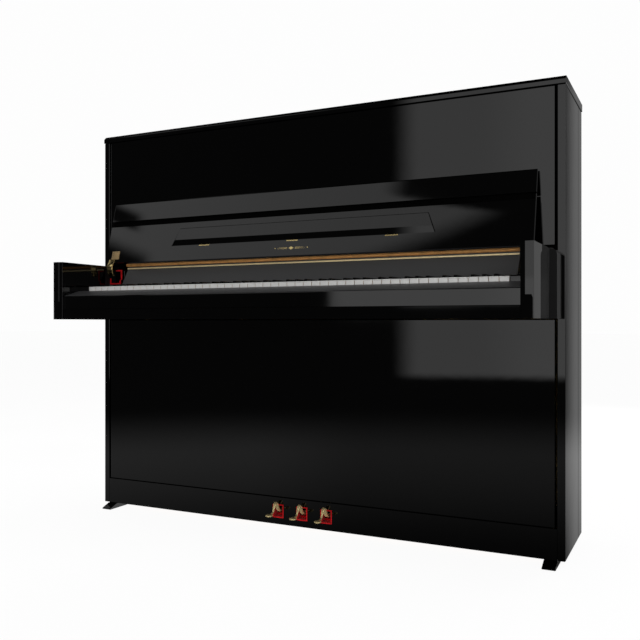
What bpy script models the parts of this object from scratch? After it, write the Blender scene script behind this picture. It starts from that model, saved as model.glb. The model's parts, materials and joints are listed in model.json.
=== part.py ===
"""An upright piano as separate solids: case, keyboard, action, strings, back and pedals.

Metres, +Z up, +X to the player's right, +Y from the player into the piano. The origin is on the
floor, under the middle of the whole piano. Run with: blender --background --python part.py
"""

import math

import bmesh
import bpy

# ---------------------------------------------------------------- driving dimensions
GAP = 0.0003  # clearance between pieces that rest on each other
HALF_WIDTH = 0.720  # outer face of a side panel
FRONT_Y = -0.020  # front of the side panels, the doors and the plinth
REAR_Y = 0.270
PANEL = 0.019  # thickness of side panels and doors
FOOT_HEIGHT = 0.015
CASE_TOP = 1.176  # underside of the lid
INNER_X = HALF_WIDTH - PANEL
DOOR_HALF_WIDTH = 0.695
BACK_FRAME_Y = 0.206  # front of the back frame, just behind the groove in the sides
EDGE = 0.0015  # rounding of lacquered edges

PLINTH_TOP = 0.093
LOWER_DOOR = (0.0945, 0.6035)
UPPER_DOOR = (0.785, 1.1745)
LID_OVERHANG = 0.002
LID_CHAMFER = 0.0085
LID_THICKNESS = 0.021

KEYBED_BOTTOM = 0.605
KEYBED_TOP = 0.634
ARM_TOP = 0.773
ARM_INNER_X = 0.662
ARM_OUTER_X = 0.692
ARM_FRONT_Y = -0.270
ROOT_OUTER_X = 0.711
ROOT_FRONT_Y = -0.083

WHITE_WIDTH = 0.0240  # pitch of the white keys
WHITE_COUNT = 52
WHITE_FRONT_Y = -0.197
BLACK_FRONT_Y = -0.147
KEY_TAIL_Y = -0.047  # where the keys pass under the fall rail
KEY_REAR_Y = 0.104
KEY_TOP = 0.702
KEY_BOTTOM = 0.682
BLACK_TOP = 0.7115
BLACK_WIDTH = 0.0108
KEY_PLAY = 0.0005  # half of the slit between two keys
KEYBOARD_HALF = WHITE_WIDTH * WHITE_COUNT / 2
BALANCE_Y = 0.010

FALL_PIVOT = (-0.070, 0.762)  # y, z
FALL_LEAN = math.radians(15)
FALL_HALF_WIDTH = 0.657
FALL_FRONT = 0.0235  # front face, measured from the pivot across the board
FALL_REAR = 0.0105
LIP_PIVOT = (0.1495, 0.0225)  # up the board, across the board
FLAP_PIVOT = (0.0585, 0.0225)

PEDAL_PITCH = 0.0765
PEDAL_PIVOT = (0.035, 0.050)  # y, z
ROD_Y = 0.116
ROD_TOP = 0.850

SOUNDBOARD_Y = (0.1977, 0.2055)
PLATE_Y = (0.1545, 0.1665)
TREBLE_STRING_Y = (0.1495, 0.1505)
BASS_STRING_Y = (0.1365, 0.1380)
STRING_TOP = 1.100
ACTION_HALF_WIDTH = 0.612
HAMMER_PIVOT = (0.085, 0.920)  # y, z
DAMPER_PIVOT = (0.114, 0.905)

OCTAVE = 7 * WHITE_WIDTH
NOTES = ("c", "c_sharp", "d", "d_sharp", "e", "f", "f_sharp", "g", "g_sharp", "a", "a_sharp", "b")


# ---------------------------------------------------------------- scene and materials
for old in list(bpy.data.objects):
    bpy.data.objects.remove(old)


def new_collection(name):
    made = bpy.data.collections.new(name)
    bpy.context.scene.collection.children.link(made)
    return made


PIANO = new_collection("upright_piano")
CUTTERS = new_collection("cutters")


def material(name, colour, roughness, metallic=0.0):
    made = bpy.data.materials.new(name)
    made.use_nodes = True
    shader = made.node_tree.nodes["Principled BSDF"]
    shader.inputs["Base Color"].default_value = (*colour, 1.0)
    shader.inputs["Roughness"].default_value = roughness
    shader.inputs["Metallic"].default_value = metallic
    made.diffuse_color = (*colour, 1.0)
    return made


LACQUER = material("black_lacquer", (0.008, 0.008, 0.009), 0.08)
IVORY = material("white_key_top", (0.86, 0.85, 0.82), 0.25)
EBONY = material("black_key", (0.015, 0.015, 0.016), 0.35)
BRASS = material("polished_brass", (0.83, 0.64, 0.27), 0.22, 1.0)
SPRUCE = material("spruce", (0.72, 0.55, 0.33), 0.55)
BEECH = material("beech", (0.60, 0.42, 0.25), 0.5)
IRON = material("gold_iron", (0.62, 0.47, 0.20), 0.4, 0.6)
STEEL = material("string_steel", (0.62, 0.62, 0.60), 0.3, 1.0)
COPPER = material("wound_copper", (0.72, 0.40, 0.24), 0.35, 1.0)
FELT = material("white_felt", (0.80, 0.78, 0.72), 0.95)
ALUMINIUM = material("rail_aluminium", (0.70, 0.70, 0.70), 0.4, 1.0)


# ---------------------------------------------------------------- modelling helpers
def add_object(name, mesh, colour, collection=PIANO):
    made = bpy.data.objects.new(name, mesh)
    collection.objects.link(made)
    mesh.materials.clear()
    mesh.materials.append(colour)
    return made


def box_mesh(name, size):
    mesh = bpy.data.meshes.new(name)
    shape = bmesh.new()
    bmesh.ops.create_cube(shape, size=1.0)
    bmesh.ops.scale(shape, vec=size, verts=shape.verts)
    shape.to_mesh(mesh)
    shape.free()
    return mesh


def box(name, low, high, colour=LACQUER, collection=PIANO):
    """A box between two opposite corners, with its origin at its middle."""
    made = add_object(name, box_mesh(name, [h - l for l, h in zip(low, high)]), colour, collection)
    made.location = [(l + h) / 2 for l, h in zip(low, high)]
    return made


def mesh_from_curve(curve_object, colour, collection):
    """Turns a curve into one welded mesh object at the same place, and removes the curve."""
    bpy.context.view_layer.update()
    graph = bpy.context.evaluated_depsgraph_get()
    mesh = bpy.data.meshes.new_from_object(curve_object.evaluated_get(graph))
    shape = bmesh.new()
    shape.from_mesh(mesh)
    bmesh.ops.remove_doubles(shape, verts=shape.verts, dist=0.00002)
    bmesh.ops.recalc_face_normals(shape, faces=shape.faces)
    shape.to_mesh(mesh)
    shape.free()
    name, placed = curve_object.name, curve_object.matrix_world.copy()
    bpy.data.objects.remove(curve_object)
    made = add_object(name, mesh, colour, collection)
    made.matrix_world = placed
    return made


# For each plane: the rotation that lays local x and y in it, and the sign of local z.
PLANES = {
    "xy": ((0, 0, 0), (0, 0, 1)),
    "xz": ((math.pi / 2, 0, 0), (0, -1, 0)),
    "yz": ((math.pi / 2, 0, math.pi / 2), (1, 0, 0)),
}


def slab(name, points, low, high, plane="xy", colour=LACQUER, collection=PIANO):
    """A flat outline in the named plane, filled between low and high across that plane."""
    curve = bpy.data.curves.new(name, "CURVE")
    curve.dimensions = "2D"
    curve.fill_mode = "BOTH"
    curve.extrude = abs(high - low) / 2
    spline = curve.splines.new("POLY")
    spline.points.add(len(points) - 1)
    for point, place in zip(spline.points, points):
        point.co = (*place, 0.0, 1.0)
    spline.use_cyclic_u = True
    made = bpy.data.objects.new(name, curve)
    collection.objects.link(made)
    rotation, normal = PLANES[plane]
    made.rotation_euler = rotation
    made.location = [abs(n) * (low + high) / 2 for n in normal]
    return mesh_from_curve(made, colour, collection)


def tube(name, points, radius, colour, sides_level=1):
    """A round bar through the points."""
    curve = bpy.data.curves.new(name, "CURVE")
    curve.dimensions = "3D"
    curve.bevel_depth = radius
    curve.bevel_resolution = sides_level
    curve.use_fill_caps = True
    spline = curve.splines.new("POLY")
    spline.points.add(len(points) - 1)
    for point, place in zip(spline.points, points):
        point.co = (*place, 1.0)
    made = bpy.data.objects.new(name, curve)
    PIANO.objects.link(made)
    return mesh_from_curve(made, colour, PIANO)


def rounded(made, width=EDGE, segments=2):
    """Rounds the sharp edges of an object."""
    bevel = made.modifiers.new("rounded edges", "BEVEL")
    bevel.width = width
    bevel.segments = segments
    bevel.limit_method = "ANGLE"
    bevel.angle_limit = math.radians(30)
    return made


def apply_modifiers(made):
    """Turns an object's modifiers into its mesh, and keeps its one material."""
    colour = made.data.materials[0]
    bpy.context.view_layer.update()
    graph = bpy.context.evaluated_depsgraph_get()
    made.data = bpy.data.meshes.new_from_object(made.evaluated_get(graph))
    made.data.materials.clear()
    made.data.materials.append(colour)
    made.modifiers.clear()
    return made


def combine(made, other, operation):
    """Applies a Boolean to the mesh of an object, and removes the other object."""
    step = made.modifiers.new(operation.lower(), "BOOLEAN")
    step.operation = operation
    step.solver = "EXACT"
    step.object = other
    apply_modifiers(made)
    bpy.data.objects.remove(other)
    return made


def join(made, *others):
    for other in others:
        combine(made, other, "UNION")
    return made


def cut(made, *cutters):
    for cutter in cutters:
        combine(made, cutter, "DIFFERENCE")
    return made


def mirrored(points):
    """The outline on the other side of the plane x = 0, in the same turning direction."""
    return [(-x, y) for x, y in reversed(points)]


def arc(centre, radius, start, end, steps):
    """Points along an arc, with angles in degrees."""
    turns = [math.radians(start + (end - start) * i / steps) for i in range(steps + 1)]
    return [(centre[0] + radius * math.cos(t), centre[1] + radius * math.sin(t)) for t in turns]


def pivot(name, place, rotation=(0, 0, 0), parent=None):
    """An empty on a joint's axis."""
    made = bpy.data.objects.new(name, None)
    PIANO.objects.link(made)
    made.empty_display_size = 0.03
    made.location = place
    made.rotation_euler = rotation
    made.parent = parent
    return made


def hang(parent, *members):
    """Parents objects to an unrotated pivot without moving them."""
    for member in members:
        member.location = [a - b for a, b in zip(member.location, parent.location)]
        member.parent = parent


def carry(parent, *members):
    """Parents objects whose coordinates are already the pivot's own."""
    for member in members:
        member.parent = parent


# ---------------------------------------------------------------- case
def side_panels():
    for side, sign in (("left", -1), ("right", 1)):
        xs = sorted((sign * INNER_X, sign * HALF_WIDTH))
        low = (xs[0], FRONT_Y, FOOT_HEIGHT + GAP)
        rounded(box(f"{side}_side_panel", low, (xs[1], BACK_FRAME_Y - 0.0025, CASE_TOP - GAP)))


def feet():
    """Full-depth skids with a tapered toe in front of the plinth."""
    top = FOOT_HEIGHT - GAP
    toe, heel, inner, outer = -0.052, REAR_Y - 0.008, 0.669, 0.702
    profile = [(toe, 0), (heel, 0), (heel, top), (FRONT_Y - 0.0025, top), (toe, 0.0036)]
    rounded(slab("left_foot", profile, -outer, -inner, "yz"), 0.0006, 1)
    rounded(slab("right_foot", profile, inner, outer, "yz"), 0.0006, 1)


def bottom_board():
    low = (-INNER_X + GAP, FRONT_Y + PANEL + GAP, FOOT_HEIGHT + GAP)
    box("bottom_board", low, (INNER_X - GAP, 0.2035, 0.034), BEECH)


def plinth_rail():
    """The rail below the lower door, with a window for each pedal."""
    rail = box(
        "plinth_rail",
        (-INNER_X + GAP, FRONT_Y, FOOT_HEIGHT + GAP),
        (INNER_X - GAP, FRONT_Y + PANEL, PLINTH_TOP),
    )
    half, low, high = 0.0175, 0.034, 0.073
    windows = [
        box(f"window_{i}", (x - half, -0.05, low), (x + half, 0.02, high), collection=CUTTERS)
        for i, x in enumerate((-PEDAL_PITCH, 0.0, PEDAL_PITCH))
    ]
    rounded(cut(rail, *windows), 0.0008)


def doors():
    lower = rounded(
        box(
            "lower_panel",
            (-DOOR_HALF_WIDTH, FRONT_Y, LOWER_DOOR[0]),
            (DOOR_HALF_WIDTH, FRONT_Y + PANEL, LOWER_DOOR[1]),
        )
    )
    hang(pivot("lower_panel_pivot", (0, FRONT_Y, LOWER_DOOR[0])), lower)
    rounded(
        box(
            "upper_panel",
            (-DOOR_HALF_WIDTH, FRONT_Y, UPPER_DOOR[0]),
            (DOOR_HALF_WIDTH, FRONT_Y + PANEL, UPPER_DOOR[1]),
        )
    )


def top_lid():
    """One board with a chamfered front edge, hinged along the rear."""
    low, high, front = CASE_TOP + GAP, CASE_TOP + LID_THICKNESS, FRONT_Y - LID_OVERHANG
    profile = [(front, low), (REAR_Y, low), (REAR_Y, high), (front + LID_CHAMFER, high),
               (front, high - LID_CHAMFER)]
    reach = HALF_WIDTH + LID_OVERHANG
    lid = rounded(slab("top_lid", profile, -reach, reach, "yz"), 0.0012)
    hang(pivot("lid_pivot", (0, REAR_Y, low)), lid)


# ---------------------------------------------------------------- back, soundboard and strings
def back_frame():
    floor, top = FOOT_HEIGHT + GAP, CASE_TOP - GAP
    post_inner = 0.655
    for side, sign in (("left", -1), ("right", 1)):
        xs = sorted((sign * post_inner, sign * HALF_WIDTH))
        rounded(box(f"{side}_back_post", (xs[0], BACK_FRAME_Y, floor), (xs[1], REAR_Y, top)))
    reach = post_inner - GAP
    rail_low, rail_high = 0.115, 1.020
    rear = REAR_Y - 0.001
    box("back_bottom_rail", (-reach, BACK_FRAME_Y, floor), (reach, rear, rail_low), BEECH)
    box("back_top_rail", (-reach, BACK_FRAME_Y, rail_high), (reach, rear, top), BEECH)
    box("middle_post", (-0.035, 0.2285, rail_low + GAP), (0.035, rear, rail_high - GAP), BEECH)


def soundboard():
    """The board and its glued slanting ribs."""
    board = box("soundboard", (-0.694, SOUNDBOARD_Y[0], 0.10), (0.694, SOUNDBOARD_Y[1], 0.985), SPRUCE)
    slope, half, spacing, rib_rear = 0.72, 0.013, 0.19, 0.2255
    limit, low, high = 0.648, 0.125, 0.982
    for i in range(9):
        middle = (i - 4.1) * spacing
        line = [(x, 0.55 + (x - middle) * slope) for x in (-limit, limit)]
        (x0, z0), (x1, z1) = [clip_to(line, low, high, k) for k in (0, 1)]
        rib = [(x0, z0 - half), (x1, z1 - half), (x1, z1 + half), (x0, z0 + half)]
        join(board, slab(f"rib_{i}", rib, SOUNDBOARD_Y[1] - 0.001, rib_rear, "xz", SPRUCE))


def clip_to(ends, low, high, which):
    """One end of a slanting line, moved along it until its height is between low and high."""
    (x0, z0), (x1, z1) = ends
    x, z = ends[which]
    z_kept = min(max(z, low + 0.015), high - 0.015)
    return (x + (z_kept - z) * (x1 - x0) / (z1 - z0), z_kept)


def band(points, half):
    """The outline of a strip of even width along a row of points."""
    left, right = [], []
    for i, (x, z) in enumerate(points):
        ax, az = points[max(i - 1, 0)]
        bx, bz = points[min(i + 1, len(points) - 1)]
        length = math.hypot(bx - ax, bz - az)
        nx, nz = (az - bz) / length * half, (bx - ax) / length * half
        left.append((x + nx, z + nz))
        right.append((x - nx, z - nz))
    return left + right[::-1]


def smooth(points, steps=4):
    """A Catmull-Rom curve through the points."""
    out = []
    for i in range(len(points) - 1):
        a, b = points[max(i - 1, 0)], points[i]
        c, d = points[i + 1], points[min(i + 2, len(points) - 1)]
        for k in range(steps):
            t = k / steps
            out.append(tuple(
                0.5 * (2 * q + (r - p) * t + (2 * p - 5 * q + 4 * r - s) * t**2
                       + (3 * q - p - 3 * r + s) * t**3)
                for p, q, r, s in zip(a, b, c, d)
            ))
    return out + [points[-1]]


TREBLE_BRIDGE_LINE = [(0.600, 0.915), (0.400, 0.735), (0.130, 0.545), (-0.190, 0.395), (-0.520, 0.290)]


def bridges():
    rear = SOUNDBOARD_Y[0] - GAP
    long_line = band(smooth(TREBLE_BRIDGE_LINE), 0.014)
    slab("treble_bridge", long_line, TREBLE_STRING_Y[0] + 0.0013, rear, "xz", BEECH)
    short_line = band([(-0.030, 0.235), (0.245, 0.330)], 0.015)
    slab("bass_bridge", short_line, BASS_STRING_Y[1] + GAP, rear, "xz", BEECH)


def strings():
    """Each register's wires as one thin sheet in their plane."""
    top = STRING_TOP
    treble = [(-0.360, top), (0.655, top), (0.640, 0.880), (0.430, 0.690), (0.150, 0.490),
              (-0.170, 0.340), (-0.585, 0.235)]
    slab("treble_strings", treble, *TREBLE_STRING_Y, "xz", STEEL)
    bass = [(-0.665, top), (-0.400, top), (0.285, 0.265), (-0.010, 0.170)]
    slab("bass_strings", bass, *BASS_STRING_Y, "xz", COPPER)


def iron_plate():
    """The cast plate: a web over the pin block, a web for the hitch pins, and bars between."""
    edge = 0.6995
    outline = [(-edge, 0.12), (edge, 0.12), (edge, 1.165), (-edge, 1.165)]
    plate = slab("iron_plate", outline, *PLATE_Y, "xz", IRON)
    treble = [(-0.345, 0.975), (0.662, 0.975), (0.662, 0.915), (0.630, 0.892), (0.420, 0.703),
              (0.142, 0.504), (-0.175, 0.354), (-0.575, 0.248)]
    below_treble = [(0.385, 0.590), (0.345, 0.360), (0.315, 0.292), (-0.060, 0.172), (-0.110, 0.290),
                    (0.165, 0.440)]
    bass = [(-0.662, 0.975), (-0.385, 0.975), (-0.625, 0.215), (-0.662, 0.215)]
    cutters = [
        slab(f"plate_window_{i}", points, 0.14, 0.18, "xz", collection=CUTTERS)
        for i, points in enumerate((treble, below_treble, bass))
    ]
    cut(plate, *cutters)


def pin_block():
    low = (-0.6995, PLATE_Y[1] + GAP, 1.010)
    box("pin_block", low, (0.6995, BACK_FRAME_Y - GAP, 1.160), BEECH)


# ---------------------------------------------------------------- key bed and its surround
def keybed():
    narrow, wide = ARM_INNER_X - GAP, INNER_X - GAP
    step, front, lean = FRONT_Y + 0.001, -0.262, 0.0014
    half = [(narrow, front), (narrow, step), (wide, step), (wide, KEY_REAR_Y)]
    outline = half + mirrored(half)
    bed = slab("keybed", outline, KEYBED_BOTTOM, KEYBED_TOP, "xy")
    for vertex in bed.data.vertices:
        if vertex.co.y < front + lean and vertex.co.z < 0:  # the foot of the front edge
            vertex.co.y += lean
    rounded(bed, 0.001, 1)


def arms():
    """Each arm with its thicker root at the case, and a sunk strip inside and below its front.

    The strip's floor and the root's front are turned a little towards the keyboard.
    """
    rear, root_round, root_slant = FRONT_Y - GAP, 0.016, 0.0019
    strip_depth, strip_slant = 0.0045, 0.142
    plan = [(ARM_INNER_X, ARM_FRONT_Y), (ARM_OUTER_X, ARM_FRONT_Y), (ARM_OUTER_X, ROOT_FRONT_Y),
            (ROOT_OUTER_X, ROOT_FRONT_Y - root_slant), (ROOT_OUTER_X, rear), (ARM_INNER_X, rear)]
    corner = (ROOT_OUTER_X - root_round, ARM_TOP - root_round)
    rounding = [*arc(corner, root_round, 0, 90, 5), (corner[0], ARM_TOP + 0.01),
                (ROOT_OUTER_X + 0.01, ARM_TOP + 0.01), (ROOT_OUTER_X + 0.01, corner[1])]
    sunk = [(0.650, 0.590), (0.6895, 0.590), (0.6895, 0.650), (0.6865, 0.657),
            (0.673, 0.657), (0.673, 0.790), (0.650, 0.790)]
    for side, turned in (("left", mirrored), ("right", list)):
        arm = slab(f"{side}_arm", turned(plan), KEYBED_BOTTOM, ARM_TOP)
        strip = slab(f"{side}_sunk", turned(sunk), ARM_FRONT_Y - 0.01, ARM_FRONT_Y + strip_depth, "xz",
                     collection=CUTTERS)
        for vertex in strip.data.vertices:
            if vertex.co.z < 0:  # on the floor of the strip
                vertex.co.z += strip_slant * (abs(vertex.co.x) - ARM_INNER_X)
        cut(
            arm,
            slab(f"{side}_rounding", turned(rounding), -0.2, 0.1, "xz", collection=CUTTERS),
            strip,
        )
        rounded(arm, 0.0007, 1)


def keyslip():
    """The rail in front of the keys, with a sloping top."""
    low = KEYBED_TOP + GAP
    profile = [(-0.259, low), (-0.1995, low), (-0.1995, 0.6900), (-0.2575, 0.674), (-0.259, 0.672)]
    reach = ARM_INNER_X - GAP
    rounded(slab("keyslip", profile, -reach, reach, "yz"), 0.0006, 1)


def key_blocks():
    """The cheeks at both ends of the keyboard, higher at the rear behind the fallboard's arm."""
    low = KEYBED_TOP + GAP
    profile = [(WHITE_FRONT_Y, low), (FRONT_Y - GAP, low), (FRONT_Y - GAP, 0.760), (-0.036, 0.760),
               (-0.036, KEY_TOP), (WHITE_FRONT_Y, KEY_TOP)]
    for side, sign in (("left", -1), ("right", 1)):
        xs = sorted((sign * (KEYBOARD_HALF + 0.0015), sign * (ARM_INNER_X - GAP)))
        rounded(slab(f"{side}_key_block", profile, *xs, "yz"), 0.0007, 1)


def key_frame():
    """A flat frame with two windows, carrying the front, balance and back rails."""
    low, deck, reach = KEYBED_TOP + GAP, 0.650, KEYBOARD_HALF
    frame = box("key_frame", (-reach, -0.190, low), (reach, 0.1035, deck), BEECH)
    cut(
        frame,
        box("front_window", (-0.56, -0.135, 0.60), (0.56, -0.012, 0.70), collection=CUTTERS),
        box("rear_window", (-0.56, 0.032, 0.60), (0.56, 0.068, 0.70), collection=CUTTERS),
    )
    rails = (("front", -0.188, -0.137, 0.668), ("balance", -0.010, 0.030, 0.6805),
             ("back", 0.070, 0.102, 0.680))
    for name, front, rear, top in rails:
        join(frame, box(f"{name}_rail", (0.001 - reach, front, 0.645), (reach - 0.001, rear, top), BEECH))


# ---------------------------------------------------------------- keys
def note_slots(octave_x):
    """For each of the twelve notes: (name, is it white, tail's low x, tail's high x, head's low x)."""
    slots, x, white = [], octave_x, 0
    for group in (NOTES[:5], NOTES[5:]):
        whites = (len(group) + 1) // 2
        pitch = whites * WHITE_WIDTH / len(group)
        for i, name in enumerate(group):
            is_white = i % 2 == 0
            head = octave_x + white * WHITE_WIDTH
            slots.append((name, is_white, x + i * pitch, x + (i + 1) * pitch, head))
            white += is_white
        x += whites * WHITE_WIDTH
    return slots


FIRST_WHITE_X = -WHITE_COUNT * WHITE_WIDTH / 2
FIRST_C_X = FIRST_WHITE_X + 2 * WHITE_WIDTH
MIDDLE_OCTAVE = 3  # counted from the lowest c
HEAD_REAR_Y = BLACK_FRONT_Y - 0.001


def white_outline(tail_low, tail_high, head_low, rear_y):
    """A white key seen from above: a wide head and a narrow tail."""
    low, high = head_low + KEY_PLAY, head_low + WHITE_WIDTH - KEY_PLAY
    tail = (max(tail_low + KEY_PLAY, low), min(tail_high - KEY_PLAY, high))
    points = [(low, WHITE_FRONT_Y), (high, WHITE_FRONT_Y)]
    if tail[1] < high:
        points += [(high, HEAD_REAR_Y), (tail[1], HEAD_REAR_Y)]
    points += [(tail[1], rear_y), (tail[0], rear_y)]
    if tail[0] > low:
        points += [(tail[0], HEAD_REAR_Y), (low, HEAD_REAR_Y)]
    return points


def keyboard_slots():
    """All 88 notes as (note, octave, white, tail low, tail high, head low)."""
    found = []
    for octave in range(-1, 8):
        for name, white, low, high, head in note_slots(FIRST_C_X + octave * OCTAVE):
            place = octave * 12 + NOTES.index(name)
            if -3 <= place <= 84:
                low = FIRST_WHITE_X if place == -3 else low
                high = head + WHITE_WIDTH if place == 84 else high
                found.append((name, octave, white, low, high, head))
    return found


def middle_keys(slots):
    """Twelve keys of the middle octave, each a solid of its own on the balance rail."""
    for name, octave, white, low, high, head in slots:
        if octave != MIDDLE_OCTAVE:
            continue
        middle = (low + high) / 2
        on = pivot(f"{name}_key_pivot", (middle, BALANCE_Y, KEY_BOTTOM))
        if white:
            key = slab(f"{name}_key", white_outline(low, high, head, KEY_REAR_Y), KEY_BOTTOM, KEY_TOP,
                       "xy", IVORY)
        else:
            profile = [(BLACK_FRONT_Y, 0.6835), (BALANCE_Y, KEY_BOTTOM), (KEY_REAR_Y, KEY_BOTTOM),
                       (KEY_REAR_Y, 0.7015), (-0.050, 0.7015), (-0.050, BLACK_TOP),
                       (BLACK_FRONT_Y + 0.005, BLACK_TOP), (BLACK_FRONT_Y, KEY_TOP + 0.003)]
            key = slab(f"{name}_key", profile, middle - BLACK_WIDTH / 2, middle + BLACK_WIDTH / 2,
                       "yz", EBONY)
        hang(on, key)


def white_comb(name, notes):
    """Neighbouring white keys joined behind the fall rail."""
    front = []
    for _, _, white, low, high, head in notes:
        if white:
            outline = white_outline(low, high, head, KEY_TAIL_Y)
            # from the tail's left rear corner, round the head, to the tail's right rear corner
            left_corner = [y for _, y in outline].index(KEY_TAIL_Y) + 1
            front += outline[left_corner:] + outline[:left_corner]
    first, last = front[0][0], front[-1][0]
    points = front + [(last, KEY_REAR_Y), (first, KEY_REAR_Y)]
    slab(name, points, KEY_BOTTOM, KEY_TOP, "xy", IVORY)


def black_comb(name, notes):
    """Neighbouring black keys joined behind the fall rail, above the white keys' tails."""
    points = []
    for _, _, white, low, high, _ in notes:
        if not white:
            a, b = (low + high - BLACK_WIDTH) / 2, (low + high + BLACK_WIDTH) / 2
            points += [(a, KEY_TAIL_Y), (a, BLACK_FRONT_Y), (b, BLACK_FRONT_Y), (b, KEY_TAIL_Y)]
    points += [(points[-1][0], 0.06), (points[0][0], 0.06)]
    slab(name, points, KEY_TOP + GAP, BLACK_TOP, "xy", EBONY)


def keys():
    slots = keyboard_slots()
    bass = [s for s in slots if s[1] < MIDDLE_OCTAVE]
    treble = [s for s in slots if s[1] > MIDDLE_OCTAVE]
    white_comb("bass_white_keys", bass)
    black_comb("bass_black_keys", bass)
    middle_keys(slots)
    white_comb("treble_white_keys", treble)
    black_comb("treble_black_keys", treble)


# ---------------------------------------------------------------- fallboard
def fall_rail():
    """The sloping rail behind the keys, with a step for the brass strip and a raised rear."""
    rear, low, high = FRONT_Y - GAP - 0.001, BLACK_TOP + 0.001, UPPER_DOOR[0] - 0.001
    step_low, step_high = (-0.0330, 0.7634), (-0.0285, 0.7684)
    profile = [(-0.063, low), (rear, low), (rear, high), (step_high[0], high), step_high,
               (step_low[0], step_high[1]), step_low]
    reach = KEYBOARD_HALF - 0.010
    rounded(slab("fall_rail", profile, -reach, reach, "yz"), 0.0006, 1)


def fallboard():
    """The leaning cover, its folding lip, the music flap and the two curved end arms.

    In the pivot's own frame x runs along the piano, y up the board and z out of its front.
    """
    hinge = pivot("fallboard_pivot", (0, *FALL_PIVOT), (math.pi / 2 - FALL_LEAN, 0, 0))
    step = 0.005
    profile = [(0.013, FALL_REAR), (0.1485, FALL_REAR), (0.1485, FALL_FRONT - step),
               (0.1327, FALL_FRONT - step), (0.1327, FALL_FRONT), (0.013, FALL_FRONT)]
    board = slab("fallboard", profile, -FALL_HALF_WIDTH, FALL_HALF_WIDTH, "yz")
    flap_low, flap_high, flap_back = 0.060, 0.113, 0.0145
    foot, head = 0.408, 0.388  # half widths of the flap's lower and upper edges
    outline = [(-foot, flap_low), (foot, flap_low), (head, flap_high), (-head, flap_high)]
    # wider at its foot, where the flap's slanted ends swing up past their own outline
    foot_play, head_play, end_play = 0.0030, 0.0008, 0.0005
    pocket = [(-foot - foot_play, flap_low - end_play), (foot + foot_play, flap_low - end_play),
              (head + head_play, flap_high + end_play), (-head - head_play, flap_high + end_play)]
    cut(board, slab("flap_pocket", pocket, flap_back - 0.0005, 0.04, "xy", collection=CUTTERS))
    rounded(board, 0.0007, 1)

    lip_rear = 0.0125
    lip_profile = [(0.1503, lip_rear), (0.2085, lip_rear), (0.2116, lip_rear + 0.003),
                   (0.2116, FALL_FRONT - 0.003), (0.2085, FALL_FRONT), (0.1503, FALL_FRONT)]
    lip = slab("fallboard_lip", lip_profile, -FALL_HALF_WIDTH, FALL_HALF_WIDTH, "yz")
    rounded(lip, 0.0007, 1)

    flap = slab("music_flap", outline, flap_back, FALL_FRONT, "xy")
    shaved = [(flap_low - 0.001, FALL_FRONT - 0.0047), (0.078, FALL_FRONT), (0.078, 0.03),
              (flap_low - 0.001, 0.03)]
    cut(flap, slab("grip_cutter", shaved, -0.45, 0.45, "yz", collection=CUTTERS))

    radius, half = 0.0295, 0.002
    arm = [*arc((0, 0), radius + half, 62, 152, 9), *arc((0, 0), radius - half, 152, 62, 9),
           (0.0150, FALL_FRONT + GAP), (0.0235, FALL_FRONT + GAP), (0.0235, 0.0268)]
    outer, left_inner, right_inner = 0.640, 0.6195, 0.626  # the left arm is the wider one
    left = slab("left_fall_arm", arm, -outer, -left_inner, "yz", BRASS)
    right = slab("right_fall_arm", arm, right_inner, outer, "yz", BRASS)
    carry(hinge, board, left, right)

    lip_hinge = pivot("lip_pivot", (0, *LIP_PIVOT), parent=hinge)
    flap_hinge = pivot("flap_pivot", (0, *FLAP_PIVOT), parent=hinge)
    hang(lip_hinge, lip)
    hang(flap_hinge, flap)


# ---------------------------------------------------------------- pedals
def pedals():
    """Each brass pedal is a tongue, a swan neck and a lever that lifts an upright rod."""
    names = ("soft", "middle", "sustain")
    neck = [(-0.0680, 0.0520), (-0.0560, 0.0535), (-0.0490, 0.0600), (-0.0430, 0.0700), (-0.0360, 0.0755),
            (-0.0295, 0.0715), (-0.0245, 0.0630), (-0.0180, 0.0565), (-0.0060, 0.0525), (0.0120, 0.0515)]
    for name, x in zip(names, (-PEDAL_PITCH, 0.0, PEDAL_PITCH)):
        tongue = [(x + a, y) for a, y in arc((0, -0.0735), 0.010, 180, 360, 10)
                  + [(0.0070, -0.0640), (0.0045, -0.0600), (-0.0045, -0.0600), (-0.0070, -0.0640)]]
        pedal = slab(f"{name}_pedal", tongue, 0.0490, 0.0545, "xy", BRASS)
        apply_modifiers(rounded(pedal, 0.0018))
        bow = tube(f"{name}_neck", [(x, y, z) for y, z in neck], 0.0045, BRASS)
        lever = box(f"{name}_lever", (x - 0.006, 0.0080, 0.0465), (x + 0.006, 0.122, 0.0565), BRASS)
        join(pedal, bow, lever)
        hang(pivot(f"{name}_pedal_pivot", (x, *PEDAL_PIVOT)), pedal)
        tube(f"{name}_rod", [(x, ROD_Y, 0.0573), (x, ROD_Y, ROD_TOP)], 0.006, BEECH, 2)


# ---------------------------------------------------------------- action
def comb_outline(count, width, spine_y, tip_at, reach):
    """A row of fingers pointing to +y from a spine. tip_at gives each finger's tip."""
    pitch = 2 * reach / count
    points = []
    for i in range(count):
        x = -reach + (i + 0.5) * pitch
        tip = tip_at(x)
        points += [(x - width / 2, spine_y[1]), (x - width / 2, tip), (x + width / 2, tip),
                   (x + width / 2, spine_y[1])]
    return points[::-1] + [(points[0][0], spine_y[0]), (points[-1][0], spine_y[0])]


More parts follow.
